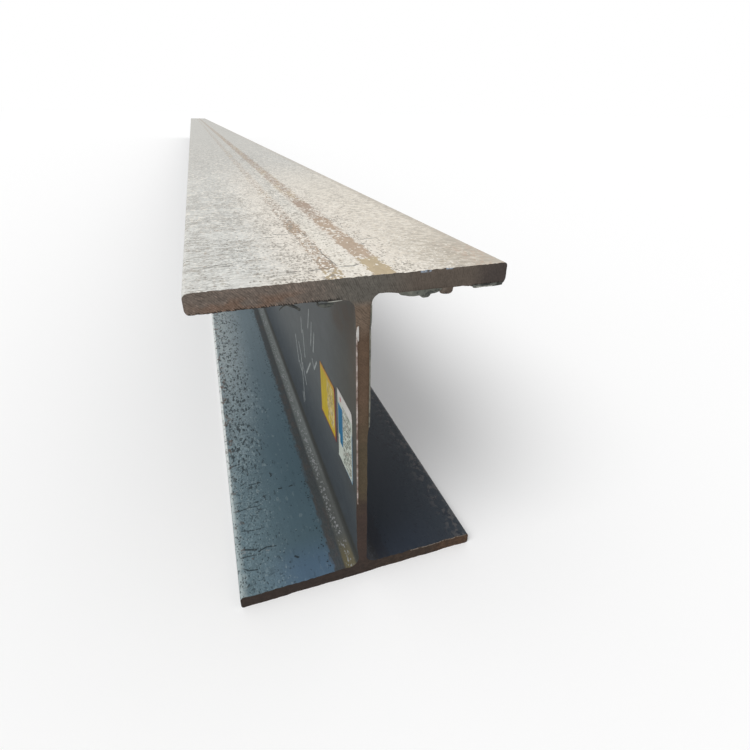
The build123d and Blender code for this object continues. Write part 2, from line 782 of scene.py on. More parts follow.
@dataclass(frozen=True)
class BlueMillScale:
    """Scale in the channels: blue-grey, darker along the roots of the web where shade is painted in,
    and painted near-black as shade on the right side.
    """

    rim: Colour = paint(160, 173, 175)
    # Painted highlight: the line along the flange's edge, far from the near end
    rim_far_highlight: Colour = paint(216, 221, 220)
    edge_near: Colour = paint(98, 118, 126)
    # Painted reflection: the far tones of the edge and of the smooth zone are lightened by painted sky
    # reflection
    edge_far_reflection: Colour = paint(158, 168, 170)
    smooth_front: Colour = paint(80, 103, 123)
    smooth: Colour = paint(76, 97, 107)
    smooth_far_reflection: Colour = paint(112, 127, 134)
    cross_dash: Colour = paint(30, 38, 42)
    glint: Colour = paint(150, 166, 170)
    rust: Colour = paint(98, 78, 66)
    blister: Colour = paint(150, 148, 148)
    root_shadow: Colour = paint(69, 71, 71)
    root_stripe: Colour = paint(81, 84, 82)
    root_stripe_far: Colour = paint(104, 110, 109)
    root_olive: Colour = paint(100, 94, 72)
    root_speck: Colour = paint(152, 154, 156)
    # Painted shade in the fillet corner at the web's root
    root_fillet_shade: Colour = paint(57, 59, 57)
    web: Colour = paint(87, 92, 93)
    web_near: Colour = paint(67, 66, 59)
    web_warm: Colour = paint(70, 60, 48)
    web_low: Colour = paint(66, 72, 77)
    chalk: Colour = paint(196, 202, 200)
    # Painted shade for the whole right side, with sparse warm specks in it
    shade_side: Colour = paint(23, 28, 39)
    shade_speck: Colour = paint(84, 79, 78)

    # Across the bottom flange, by the distance from its middle: a lane, and where others fade in
    bead_lane: Triple = (13, 20.5, 5)
    stripe_edge: Pair = (24, 20)
    shadow_edge: Pair = (38.5, 33)
    # Painted highlight: where the bright line along the flange's edge lies
    rim_highlight_lane: Pair = (145.0, 146.6)
    tip: Pair = (149.0, 149.9)

    chalk_strokes: tuple[Stroke, ...] = (
        ((301, 231), (303, 206), 2.1),
        ((292, 213), (287, 169), 2.1),
        ((233, 270), (247, 237), 2.0),
        ((219, 256), (232, 216), 2.0),
        ((204, 246), (217, 212), 2.0),
        ((368, 172), (352, 129), 2.4),
        ((338, 171), (323, 154), 2.4),
        ((323, 154), (317, 69), 2.4),
        ((314, 143), (290, 116), 2.1),
        ((244, 179), (282, 142), 2.0),
        ((197, 204), (216, 184), 2.0),
        ((227, 194), (219, 185), 2.0),
        ((345, 132), (330, 122), 2.0),
        ((331, 76), (326, 60), 2.0),
    )
    drawn_lines: tuple[Stroke, ...] = (
        ((-141, 240), (-130, 242), 1.6),
        ((-121, 189), (-104, 189), 0.9),
        ((-132, 191), (-125, 196), 0.9),
        ((-122, 183), (-115, 183), 0.8),
        ((-140, 139), (-125, 142), 1.1),
        ((-125, 142), (-112, 141), 0.7),
        ((-139, 102), (-125, 98), 0.9),
        ((-125, 98), (-113, 99), 0.7),
        ((-140, 70), (-124, 65), 1.5),
        ((-121, 61), (-111, 65), 1.1),
        ((-111, 65), (-99, 63), 0.9),
        ((-142, 58), (-126, 57), 0.8),
        ((-147, 45), (-137, 36), 0.8),
        ((-137, 36), (-126, 34), 0.9),
        ((-79, 167), (-75, 167), 1.4),
        ((-63, 167), (-59, 168), 1.3),
        ((-78, 39), (-75, 36), 1.5),
        ((-115, 150), (-112, 150), 1.3),
    )
    rust_spots: tuple[Stroke, ...] = (
        ((-146, 237), (-143, 239), 2.2),
        ((-146, 179), (-143, 176), 2.4),
        ((-144, 139), (-142, 140), 1.7),
        ((-138, 117), (-136, 116), 2.0),
        ((-147, 111), (-146, 108), 1.8),
        ((-141, 69), (-139, 70), 1.6),
        ((-130, 52), (-129, 51), 1.5),
    )
    blisters: tuple[Stroke, ...] = (
        ((-140, 182), (-139, 180), 1.4),
        ((-144, 143), (-142, 143), 1.0),
        ((-141, 116), (-140, 114), 1.0),
        ((-141, 64), (-139, 65), 1.4),
        ((-112, 60), (-109, 59), 1.0),
    )

    def material(self, near_end: float, section: "RolledSection") -> bpy.types.Material:
        """Mixes the finish.

        Args:
            near_end: The near end's place along Y, in metres.
            section: The rolled section that the scale covers.

        Returns:
            The material.
        """
        r = SkinRecipe("blue_mill_scale", near_end)
        x, _, z = r.point
        clouds = r.noise((60, 180, 60), detail=3, seed=11)
        fine = r.noise((2.2, 4.0, 2.2), detail=3, rough=0.75, seed=12)

        flange, marks = self.flange(r, clouds, fine)
        wall = self.wall(r, clouds)
        floor = section.flange / MM
        low_root = (section.flange + section.root) / MM
        # Painted shade: the fillet where the bottom flange turns up into the web is darkened
        root_fillet_shade = r.rise(r.sway(z, fine, 1.5), floor + 2.5, floor + 6.0)
        skin = r.mix(root_fillet_shade, flange, self.root_fillet_shade)
        skin = r.mix(r.rise(z, low_root - 2, low_root + 10), skin, wall)

        # Painted shade: everything right of the web's middle, below the top face, is painted
        # near-black navy
        spots = r.noise((7, 12, 7), detail=4, rough=0.65, seed=15)
        speckle = r.times(r.rise(r.sway(x, clouds, 30), 118, 138), r.rise(spots, 0.50, 0.60), 0.65)
        shade = r.mix(speckle, self.shade_side, self.shade_speck)
        shade = r.shade(shade, clouds, 0.85, 1.15)
        skin = r.lay(skin, shade, r.rise(x, 0, 4), r.rise(z, 388, 380), 0.92)
        outside = r.times(r.rise(r.calc("ABSOLUTE", x), *self.tip), 0.7)
        skin = r.mix(outside, skin, r.mix(r.rise(fine, 0.5, 0.6), self.web, self.rust))

        normal = r.relief((clouds, 0.5), (r.plus(fine, r.times(marks, -0.8)), 0.10))
        return r.finish(skin, r.remap(clouds, 0.48, 0.66), normal, shine=0.3, metal=0.1)

    def flange(self, r: SkinRecipe, clouds: Socket, fine: Socket) -> tuple[Socket, Socket]:
        """The upper face of the bottom flange.

        Args:
            r: The recipe that it goes into.
            clouds: Wide soft noise.
            fine: Fine noise.

        Returns:
            The colour, and where dark marks lie.
        """
        x, y, z = r.point
        out = r.calc("ABSOLUTE", x)
        rolling = r.noise((3.5, 400, 3.5), detail=3, seed=13)
        smooth = r.mix(r.rise(y, 14, 70), self.smooth_front, self.smooth)
        # Painted reflection: lighter towards the far end
        smooth = r.mix(r.rise(y, 180, 900), smooth, self.smooth_far_reflection)
        edge = r.mix(r.rise(y, 120, 800), self.edge_near, self.edge_far_reflection)
        flange = r.mix(r.rise(r.sway(out, clouds, 40), 66, 136), smooth, edge)
        flange = r.shade(flange, clouds, 0.91, 1.09)
        flange = r.shade(flange, rolling, 0.91, 1.09)
        rough_zone = r.rise(r.sway(out, clouds, 50), 62, 132)
        grit = r.noise((1.9, 2.8, 1.9), detail=2, rough=0.8, seed=30)
        level = r.times(r.rise(grit, 0.34, 0.66), r.remap(rough_zone, 0.15, 1.0))
        dark = r.remap(rough_zone, 0.98, 0.84)
        flange = r.dim(flange, r.more(level, 0.36, dark))

        cells = r.chips((1.5, 2.5, 1.5), 6, r.ruffle(1.9, 1.9, 4))
        specks = r.shows(cells, r.times(rough_zone, 0.13), 0.03)
        slanted = r.join(out, r.more(x, -0.10, y), z)
        dashes = r.noise((17, 3.4, 17), detail=3, rough=0.7, seed=14, place=slanted)
        clusters = r.noise((44, 30, 44), detail=2, seed=24)
        crowd = r.times(r.rise(out, 84, 118), r.rise(clusters, 0.44, 0.60))
        dash_share = r.times(r.rise(dashes, 0.585, 0.64), crowd)
        flecks = r.shows(cells, r.times(r.band(out, 36, 43, 12), 0.12), 0.03)
        drawn = r.strokes(r.ruffle(1.8, 2.6, 6, r.join(x, y, 0)), on_flange(self.drawn_lines))
        long_cells = r.chips((2.6, 7.5, 2.6), 9, r.ruffle(3.6, 4.0, 11))
        further = r.times(rough_zone, r.rise(y, 120, 260))
        long_specks = r.shows(long_cells, r.times(further, 0.22), 0.06)
        marks = r.most(r.times(specks, 0.7), dash_share, flecks, drawn, r.times(long_specks, 0.95))
        flange = r.lay(flange, self.cross_dash, marks, 0.85)
        glints = r.shows(r.rest(cells), r.times(rough_zone, 0.10), 0.03)
        flange = r.lay(flange, self.glint, glints, 0.28)
        glints = r.shows(r.rest(long_cells), r.times(further, 0.2), 0.06)
        flange = r.lay(flange, self.glint, glints, 0.35)
        flange = self.rim_band(r, flange, cells)

        streaky = r.noise((2.0, 5.5, 2.0), detail=3, rough=0.7, seed=33)
        ragged = r.sway(out, r.noise((5, 13, 5), detail=4, rough=0.68, seed=17), 15)
        warm = r.noise((9, 24, 9), detail=3, rough=0.6, seed=48)
        shadow = r.lay(self.root_shadow, self.rust, r.rise(warm, 0.50, 0.62), 0.22)
        shadow = r.shade(shadow, r.rise(streaky, 0.35, 0.65), 0.84, 1.14)
        flange = r.lay(flange, shadow, r.rise(ragged, *self.shadow_edge), 0.9)
        inner = r.mix(r.rise(y, 60, 10), self.root_stripe, self.root_olive)
        inner = r.mix(r.rise(y, 90, 320), inner, self.root_stripe_far)
        root = r.shade(inner, streaky, 0.78, 1.22)
        root = r.shade(root, r.rise(r.sway(out, fine, 3), 12, 17), 0.85, 1.10)
        beads = r.chips((1.6, 3.2, 1.6), 10, r.ruffle(1.8, 2.0, 12))
        bright = r.times(r.shows(beads, r.times(r.band(out, *self.bead_lane), 0.26), 0.08), 0.75)
        root = r.mix(bright, root, self.root_speck)
        flange = r.mix(r.rise(r.sway(out, fine, 3), *self.stripe_edge), flange, root)
        return flange, marks

    def rim_band(self, r: SkinRecipe, base: Socket, cells: Socket) -> Socket:
        """The pale, pitted rim along the outer edge of the bottom flange, with a painted highlight
        along its very edge.

        Args:
            r: The recipe that it goes into.
            base: The colour that it is laid on.
            cells: The level of each small flake.

        Returns:
            The colour.
        """
        x, y, _ = r.point
        out = r.calc("ABSOLUTE", x)
        breaks = r.noise((9, 14, 9), detail=4, rough=0.65, seed=26)
        near = r.rise(y, 420, 90)
        wide = r.times(r.rise(r.sway(out, breaks, 22), 137, 148), near, 0.78)
        # Painted highlight: a thin bright line along the very edge, brighter far from the near end
        line = r.times(r.rise(out, *self.rim_highlight_lane), r.remap(r.rise(breaks, 0.36, 0.50), 0.5, 1.0))
        base = r.mix(wide, base, self.rim)
        base = r.mix(line, base, r.mix(r.rise(y, 60, 300), self.rim, self.rim_far_highlight))
        spots = r.noise((8, 12, 8), detail=3, rough=0.65, seed=25)
        beyond = r.times(r.rise(out, 128, 143), r.rise(y, 230, 300))
        base = r.lay(base, self.rust, r.rise(spots, 0.56, 0.63), beyond, 0.8)
        pits = r.shows(cells, r.times(r.rise(out, 134, 144), near, 0.16), 0.03)
        base = r.lay(base, self.cross_dash, pits, 0.7)
        flat = r.ruffle(6.0, 3.0, 7, r.join(x, y, 0))
        rusty = r.strokes(flat, on_flange(self.rust_spots))
        grain = r.noise((1.6, 2.4, 1.6), detail=2, rough=0.7, seed=27)
        tone = r.mix(r.rise(grain, 0.44, 0.56), self.cross_dash, self.rust)
        base = r.lay(base, tone, rusty, r.remap(grain, 0.4, 1.0), 0.85)
        return r.lay(base, self.blister, r.strokes(flat, on_flange(self.blisters)), 0.45)

    def wall(self, r: SkinRecipe, clouds: Socket) -> Socket:
        """The web, with a warm patch in its upper front corner and chalk strokes.

        Args:
            r: The recipe that it goes into.
            clouds: Wide soft noise.

        Returns:
            The colour.
        """
        x, y, z = r.point
        rolling = r.noise((4, 500, 4), detail=3, seed=27)
        wall = r.mix(r.rise(y, 150, 20), self.web, self.web_near)
        wall = r.mix(r.rise(y, 300, 1600), wall, r.dim(wall, 1.12))
        wall = r.mix(r.rise(z, 200, 60), wall, self.web_low)
        wall = r.shade(wall, clouds, 0.88, 1.12)
        wall = r.shade(wall, rolling, 0.93, 1.07)
        blotches = r.noise((22, 26, 20), detail=4, rough=0.62, seed=28)
        wall = r.shade(wall, r.rise(blotches, 0.35, 0.65), 0.94, 1.06)
        high = r.rise(r.sway(z, blotches, 50), 296, 326)
        top = r.times(r.band(r.sway(y, blotches, 60), 4, 100, 30), high)
        side = r.times(r.rise(y, 40, 14), r.rise(r.sway(z, blotches, 60), 220, 300))
        corner = r.times(r.most(top, side), r.remap(r.rise(blotches, 0.40, 0.55), 0.5, 1.0))
        wall = r.lay(wall, self.web_warm, corner, 0.92)
        writing = r.strokes(r.ruffle(1.2, 5.0, 8, r.join(0, y, z)), on_web(self.chalk_strokes))
        grit = r.noise((2.6, 3.4, 4.0), detail=2, rough=0.7, seed=18)
        dusty = r.remap(r.rise(grit, 0.3, 0.62), 0.35, 0.95)
        return r.lay(wall, self.chalk, writing, r.rise(x, -4, -5), dusty, 0.85)


@dataclass(frozen=True)
class SawnSteel:
    """The cut ends: brown with new rust and scored by the arcs of the saw."""

    left: Colour = paint(122, 111, 102)
    # Painted highlight: this tone lightens the ridges of the saw's scores
    left_high: Colour = paint(156, 137, 126)
    low_rust: Colour = paint(126, 97, 78)
    middle: Colour = paint(107, 103, 96)
    right: Colour = paint(103, 93, 84)
    right_tip: Colour = paint(78, 70, 66)
    web_top: Colour = paint(125, 108, 93)
    web_warm: Colour = paint(106, 86, 70)
    web_middle: Colour = paint(88, 77, 60)
    web_low: Colour = paint(66, 53, 47)
    floor_left: Colour = paint(56, 46, 41)
    floor_right: Colour = paint(64, 52, 43)
    floor_tip: Colour = paint(82, 62, 47)
    floor_edge: Colour = paint(156, 144, 132)
    chip: Colour = paint(170, 184, 200)
    score: Colour = paint(54, 47, 42)
    # Partly dark burr and partly painted shadow under the torn lower edge
    torn_edge_and_shadow: Colour = paint(40, 38, 36)

    # The blade's centre by X and Z while it cut the top flange and then the web, and its pitch
    top_centre: Pair = (-215.0, 282.0)
    web_centre: Pair = (-215.0, 106.0)
    top_pitch: float = 1.8
    web_pitch: float = 2.0
    streak_turn: float = 37.5

    # Bare edge of the bottom flange, and chips by their depth below the top face
    bare_edge: tuple[Triple, Triple, float] = ((66, 0, 15.4), (146, 0, 15.6), 0.9)
    chips: tuple[Stroke, ...] = (((58, 0.8), (67, 0.8), 1.3), ((84, 0.5), (90, 0.5), 0.9))

    def arcs(self, r: SkinRecipe, centre: Pair, pitch: float) -> Socket:
        """Scores left by a round blade, partly even and partly broken.

        Args:
            r: The recipe that they go into.
            centre: The blade's centre, X and Z.
            pitch: The distance from one score to the next.

        Returns:
            The height of the scores, 0 to 1.
        """
        x, _, z = r.point
        across = r.less(x, centre[0])
        up = r.less(z, centre[1])
        radius = r.calc("SQRT", r.plus(r.times(across, across), r.times(up, up)))
        turn = r.calc("ARCTAN2", up, across)
        swayed = r.sway(radius, r.noise((12, 12, 12), detail=2, seed=21), 4.0)
        turns = r.times(swayed, 2 * math.pi / pitch)
        even = r.more(r.calc("SINE", turns), 0.5, 0.5)
        polar = r.join(r.times(swayed, 1 / pitch), r.times(turn, self.streak_turn), 0)
        broken = r.rise(r.noise((1, 1, 1), detail=2, rough=0.6, seed=29, place=polar), 0.32, 0.68)
        return r.plus(r.times(even, 0.4), r.times(broken, 0.6))

    def material(self, near_end: float, section: "RolledSection") -> bpy.types.Material:
        """Mixes the finish.

        Args:
            near_end: The near end's place along Y, in metres.
            section: The rolled section that was cut.

        Returns:
            The material.
        """
        r = SkinRecipe("sawn_steel", near_end)
        x, _, z = r.point
        clouds = r.noise((22, 22, 12), detail=3, seed=22)
        fine = r.noise((2.0, 2.0, 2.0), detail=3, rough=0.7, seed=23)

        under = section.under / MM
        root = section.root / MM
        over = section.flange / MM + root
        in_top = r.rise(z, under - root - 2, under - root + 8)
        in_floor = r.rise(z, over - 2, over - 12)

        top = r.mix(r.rise(x, -60, -10), self.left, self.middle)
        top = r.mix(r.rise(x, 10, 60), top, self.right)
        top = r.mix(r.rise(r.sway(x, clouds, 24), 106, 136), top, self.right_tip)
        rust = r.times(r.band(x, -142, -50, 40), r.rise(z, 386, 377), r.rise(clouds, 0.38, 0.58))
        top = r.lay(top, self.low_rust, rust, 0.6)
        web = r.mix(r.rise(r.sway(z, clouds, 20), 348, 322), self.web_top, self.web_warm)
        web = r.mix(r.rise(r.sway(z, clouds, 40), 270, 190), web, self.web_middle)
        web = r.mix(r.rise(r.sway(z, clouds, 40), 150, 100), web, self.web_low)
        floor = r.mix(r.rise(x, -20, 60), self.floor_left, self.floor_right)
        floor = r.mix(r.rise(r.sway(x, clouds, 30), 92, 118), floor, self.floor_tip)
        base = r.mix(in_floor, r.mix(in_top, web, top), floor)
        base = r.shade(base, clouds, 0.80, 1.20)

        top_arcs = self.arcs(r, self.top_centre, self.top_pitch)
        web_arcs = self.arcs(r, self.web_centre, self.web_pitch)
        scores = r.plus(r.times(top_arcs, in_top), r.times(web_arcs, r.rest(in_top)))
        quiet = r.remap(in_floor, 1.0, 0.3)
        softer = r.remap(r.rise(x, 20, 70), 1.0, 0.55)
        calm = r.remap(r.rise(z, 326, 350), 0.25, 1.0)
        base = r.lay(base, self.score, r.rise(scores, 0.48, 0.18), quiet, softer, calm, 0.38)
        # Painted highlight: the ridges of the scores on the left are lightened
        shown = r.times(r.rise(fine, 0.42, 0.58), r.rise(x, 20, -70), r.rest(in_floor), 0.65)
        base = r.lay(base, self.left_high, r.rise(scores, 0.66, 0.92), shown, calm)
        base = r.shade(base, r.rise(fine, 0.3, 0.7), 0.86, 1.14)
        # The dark line along the torn lower edge: partly dark burr, partly painted shadow
        teeth = r.sway(z, scores, 2.6)
        left_side = r.times(r.band(teeth, under - 8, under - 2.2, 0.8), r.rise(x, -16, -24))
        right_tip = r.times(r.band(teeth, under - 8, under - 3.6, 0.8), r.rise(x, 108, 116))
        base = r.lay(base, self.torn_edge_and_shadow, r.most(left_side, right_tip), 0.85)
        coarse = r.noise((7, 7, 5), detail=3, rough=0.65, seed=49)
        mottled = r.times(in_floor, r.remap(r.rise(x, -20, 40), 0.6, 1.0))
        worn = r.remap(r.rise(coarse, 0.38, 0.62), 0.74, 1.18)
        base = r.dim(base, r.more(mottled, r.less(worn, 1.0), 1.0))
        rim = r.stroke(r.here, *self.bare_edge)
        base = r.lay(base, self.floor_edge, rim, r.rise(fine, 0.40, 0.55), 0.75)
        tall = section.height / MM
        marks = (((a, 0, tall - deep), (b, 0, tall - deep), h) for (a, deep), (b, _), h in self.chips)
        chips = r.strokes(r.here, marks)
        base = r.lay(base, self.chip, chips, r.rise(fine, 0.36, 0.5), 0.9)

        normal = r.relief((clouds, 0.5), (scores, 0.22), (fine, 0.12))
        return r.finish(base, r.remap(fine, 0.66, 0.85), normal, shine=0.25, metal=0.05)


@dataclass(frozen=True)
class TornSteel:
    """The torn lips along the cuts: thin, rough and partly bright."""

    name: str
    dull: Colour
    bright: Colour
    dark: Colour

    def material(self, near_end: float) -> bpy.types.Material:
        """Mixes the finish.

        Args:
            near_end: The near end's place along Y, in metres.

        Returns:
            The material.
        """
        r = SkinRecipe(self.name, near_end)
        patches = r.noise((9, 9, 9), detail=3, rough=0.6, seed=31)
        fine = r.noise((1.8, 1.8, 1.8), detail=2, rough=0.7, seed=32)
        base = r.mix(r.rise(patches, 0.48, 0.64), self.dull, self.bright)
        base = r.mix(r.rise(patches, 0.46, 0.36), base, self.dark)
        base = r.shade(base, fine, 0.85, 1.15)
        normal = r.relief((r.plus(patches, fine), 0.2))
        return r.finish(base, r.remap(fine, 0.5, 0.7), normal, shine=0.35, metal=0.1)


class TagPrint(Enum):
    """The two printed patterns, both generic and without writing."""

    TABLE = "table"
    BLOCK = "block"


@dataclass(frozen=True)
class TagFace:
    """A tag's face: the distances from its far and upper edges, and its size, in millimetres."""

    across: Socket
    down: Socket
    width: float
    height: float


@dataclass(frozen=True)
class TagPaper:
    """Printed label paper, with the print drawn from the tag's far upper corner."""

    name: str
    printed: TagPrint
    ground: Colour
    rim: Colour
    ink: Colour
    panel: Colour
    header: Colour
    tint: Colour

    dot_place: Triple = (14.0, 9.0, 0.0)
    row_height: float = 2.6
    column_width: float = 5.6

    def material(self, near_end: float, low: Vector, high: Vector) -> bpy.types.Material:
        """Mixes the finish.

        Args:
            near_end: The near end's place along Y, in metres.
            low: The tag's lowest corner.
            high: The tag's highest corner.

        Returns:
            The material.
        """
        r = SkinRecipe(self.name, near_end)
        _, y, z = r.point
        _, width, height = (edge / MM for edge in high - low)
        across = r.less((high.y - near_end) / MM, y)
        face = TagFace(across, r.less(high.z / MM, z), width, height)
        draw = self.table if self.printed is TagPrint.TABLE else self.block
        base, inked = draw(r, face)
        wear = r.noise((9, 9, 9), detail=4, rough=0.6, seed=41)
        base = r.shade(base, wear, 0.86, 1.1)
        crease = r.noise((22, 30, 22), detail=2, seed=42)
        return r.finish(base, r.remap(inked, 0.55, 0.4), r.relief((crease, 0.5)), shine=0.4)

    def table(self, r: SkinRecipe, face: TagFace) -> tuple[Socket, Socket]:
        """A ruled table beside a solid upright bar.

        Args:
            r: The recipe that it goes into.
            face: The tag's face.

        Returns:
            The colour, and where ink lies.
        """
        across, down, width, height = face.across, face.down, face.width, face.height
        rows = r.calc("PINGPONG", r.less(down, 14.0), self.row_height)
        columns = r.calc("PINGPONG", r.less(across, 24.0), self.column_width)
        body = r.times(r.band(across, 22, width - 3, 0.6), r.band(down, 13, height - 4, 0.6))
        rule = r.most(r.rise(rows, 0.6, 0.3), r.rise(columns, 0.5, 0.25))
        smudge = r.chips((3.6, 3.2, 2.4), 4)
        fill = r.times(r.rise(rows, 0.8, 1.1), r.rise(smudge, 0.52, 0.46), 0.9)
        base = r.lay(self.ground, self.header, r.rise(down, 14, 11), 0.5)
        base = r.lay(base, self.ink, r.most(r.times(rule, 0.5), fill), body)
        tint = r.noise((6, 5, 9), detail=2, rough=0.6, seed=45)
        base = r.lay(base, self.tint, r.rise(tint, 0.54, 0.62), body, 0.35)
        bar = r.times(r.band(across, 1.5, 21, 0.5), r.band(down, 19, height - 36, 0.6))
        foot = r.times(r.band(across, 8, 21, 0.5), r.band(down, 19, height - 25, 0.6))
        bar = r.most(bar, foot)
        base = r.mix(bar, base, self.rim)
        near_side = r.times(r.rise(across, width - 2.2, width - 1.2), r.rise(down, 24, 34), 0.7)
        corner = r.times(r.rise(down, height - 2.4, height - 1.4), r.rise(across, 24, 40), 0.7)
        base = r.mix(r.most(near_side, corner), base, self.rim)
        away = r.vector("DISTANCE", r.join(across, down, 0), self.dot_place, result="Value")
        dot = r.rise(away, 3.6, 2.8)
        return r.lay(base, self.panel, dot, 0.85), r.most(bar, dot)

    def block(self, r: SkinRecipe, face: TagFace) -> tuple[Socket, Socket]:
        """A paler panel on a coloured ground with a rim on the near side.

        Args:
            r: The recipe that it goes into.
            face: The tag's face.

        Returns:
            The colour, and where ink lies.
        """
        across, down, width, height = face.across, face.down, face.width, face.height
        panel = r.times(
            r.band(across, width * 0.46, width * 0.90, 0.8),
            r.band(down, height * 0.10, height * 0.86, 0.8),
        )
        cells = r.chips((4.0, 4.0, 3.0), 5)
        smears = r.noise((2.6, 2.6, 26.0), detail=3, rough=0.65, seed=43)
        streaks = r.noise((3.0, 3.0, 12.0), detail=3, rough=0.7, seed=46)
        base = r.lay(self.ground, self.header, r.rise(down, 9, 3), 0.55)
        base = r.lay(base, self.panel, panel, r.rise(smears, 0.47, 0.57), 0.85)
        base = r.lay(base, self.ink, panel, r.rise(cells, 0.26, 0.20), 0.6)
        base = r.lay(base, self.tint, r.rise(streaks, 0.56, 0.64), 0.25)
        base = r.shade(base, r.rise(smears, 0.35, 0.65), 0.92, 1.07)
        rim = r.most(r.rise(across, width - 5.4, width - 4.4), r.times(r.rise(down, 2.6, 1.6), 0.5))
        rim = r.most(rim, r.rise(down, height - 3.4, height - 2.4), r.rise(across, 1.8, 1.0))
        return r.mix(rim, base, self.rim), rim


class Bench:
    """The modelling steps that the pieces share, done in Blender's object and edit modes."""

    @staticmethod
    def clear() -> None:
        """Puts every object down, so that only the next piece is worked on."""
        if bpy.context.object is not None and bpy.context.object.mode != "OBJECT":
            bpy.ops.object.mode_set(mode="OBJECT")
        bpy.ops.object.select_all(action="DESELECT")

    @staticmethod
    def take(name: str) -> bpy.types.Object:
        """Names the primitive that was just added.

        Args:
            name: The name of the object and its mesh.

        Returns:
            The object.
        """
        piece = bpy.context.object
        piece.name = name
        piece.data.name = name
        return piece

    @staticmethod
    def fix_place() -> None:
        """Moves the piece's place, turn and size into its mesh."""
        bpy.ops.object.transform_apply(location=True, rotation=True, scale=True)

    @staticmethod
    def pick(piece: bpy.types.Object, kind: str, where: Callable[[Vector], bool]) -> None:
        """Selects the faces or vertices whose place passes a test.

        Args:
            piece: The object in edit mode.
            kind: FACE or VERT.
            where: The test on a face's middle or a vertex's place.
        """
        bpy.ops.mesh.select_mode(type=kind)
        bpy.ops.mesh.select_all(action="DESELECT")
        mesh = bmesh.from_edit_mesh(piece.data)
        for part in mesh.faces if kind == "FACE" else mesh.verts:
            place = part.calc_center_median() if kind == "FACE" else part.co
            if not part.hide and where(place):
                part.select = True
        mesh.select_flush_mode()
        bmesh.update_edit_mesh(piece.data)

    @staticmethod
    def cut(place: Triple, normal: Triple) -> None:
        """Cuts all that shows along the plane through a place."""
        bpy.ops.mesh.select_all(action="SELECT")
        bpy.ops.mesh.bisect(plane_co=place, plane_no=normal)

    @staticmethod
    def group(piece: bpy.types.Object, name: str, weight: Callable[[Vector], float]) -> None:
        """Gives the vertices weights by their place.

        Args:
            piece: The object.
            name: The group's name.
            weight: The weight at a place, where 0 leaves the vertex out.
        """
        made = piece.vertex_groups.new(name=name)
        for corner in piece.data.vertices:
            share = weight(corner.co)
            if share > 0:
                made.add([corner.index], min(share, 1.0), "REPLACE")

    @staticmethod
    def modify(piece: bpy.types.Object, kind: str, **settings: object) -> None:
        """Adds a modifier, sets it and applies it.

        Args:
            piece: The object.
            kind: The modifier's type.
            settings: Its properties.
        """
        made = piece.modifiers.new(kind.lower(), kind)
        for name, value in settings.items():
            setattr(made, name, value)
        bpy.context.view_layer.objects.active = piece
        bpy.ops.object.modifier_apply(modifier=made.name)

    @staticmethod
    def roughen(
        piece: bpy.types.Object,
        group: str,
        grain: float,
        reach: float,
        axis: str,
        middle: float = 0.5,
    ) -> None:
        """Moves a group of vertices by cloud noise.

        Args:
            piece: The object.
            group: The vertex group that moves.
            grain: The clouds' size.
            reach: The whole range of the movement.
            axis: X, Y or Z.
            middle: The noise level that stays in place.
        """
        clouds = bpy.data.textures.new(f"{piece.name}_{group}", "CLOUDS")
        clouds.noise_scale = grain
        clouds.noise_depth = 2
        Bench.modify(
            piece,
            "DISPLACE",
            texture=clouds,
            texture_coords="LOCAL",
            vertex_group=group,
            strength=reach,
            direction=axis,
            mid_level=middle,
        )

    @staticmethod
    def push(piece: bpy.types.Object, group: str, reach: float, axis: str) -> None:
        """Moves a group of vertices straight along an axis, by reach where its weight is 1."""
        Bench.modify(
            piece, "DISPLACE", vertex_group=group, strength=reach, direction=axis, mid_level=0.0
        )

    @staticmethod
    def settle(piece: bpy.types.Object, angle: float) -> None:
        """Places a piece in its mesh and shades it smooth.

        Args:
            piece: The object.
            angle: The largest angle that is shaded smooth, in degrees.
        """
        Bench.clear()
        piece.select_set(True)
        bpy.context.view_layer.objects.active = piece
        Bench.fix_place()
        bpy.ops.object.shade_smooth_by_angle(angle=math.radians(angle))
        piece.select_set(False)


def within(value: float) -> float:
    """The value, kept between 0 and 1."""
    return min(1.0, max(0.0, value))


def profile(points: tuple[Pair, ...], place: float) -> float:
    """Reads a line drawn through points, level past its two ends.

    Args:
        points: The line's points, from the lowest place to the highest.
        place: Where the line is read.

    Returns:
        The value there.
    """
    if place <= points[0][0]:
        return points[0][1]
    for (start, low), (end, high) in zip(points, points[1:]):
        if place <= end:
            return low + (high - low) * (place - start) / (end - start)
    return points[-1][1]


